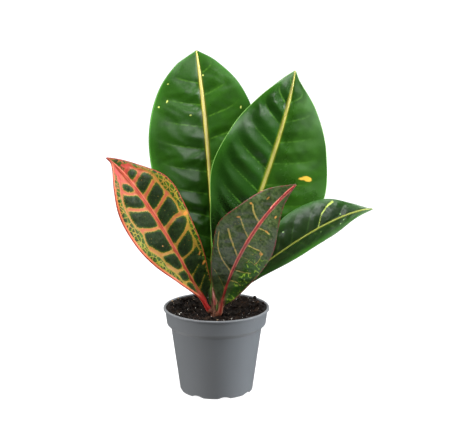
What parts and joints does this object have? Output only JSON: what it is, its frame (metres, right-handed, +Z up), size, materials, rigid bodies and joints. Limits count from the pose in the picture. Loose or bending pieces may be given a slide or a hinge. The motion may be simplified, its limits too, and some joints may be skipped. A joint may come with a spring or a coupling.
{
  "type": "potted croton",
  "caption": "Young croton house plant with broad leaves, the low one at the left patterned in orange and red, on a short stem in a round plastic nursery pot of dark soil.",
  "frame": {"origin": "centre of the pot's flat base, on the surface that the pot stands on", "axes": "+Z up, -Y towards the front of the plant, where the patterned leaf is at the left, and +X to the right"},
  "size_m": [0.2186, 0.0973, 0.2852],
  "materials": {
    "pot": "satin",
    "soil": "matte",
    "stem": "matte",
    "young_leaf": "satin",
    "leaf_rear_left": "satin",
    "leaf_rear_right": "satin",
    "leaf_front_left": "satin",
    "leaf_front_right": "satin",
    "leaf_right": "satin"
  },
  "bodies": {
    "root": {"pot": "pot", "soil": "soil", "stem": "stem", "young_leaf": "young_leaf", "leaf_rear_left": "leaf_rear_left", "leaf_rear_right": "leaf_rear_right", "leaf_front_left": "leaf_front_left", "leaf_front_right": "leaf_front_right", "leaf_right": "leaf_right"}
  },
  "joints": []
}
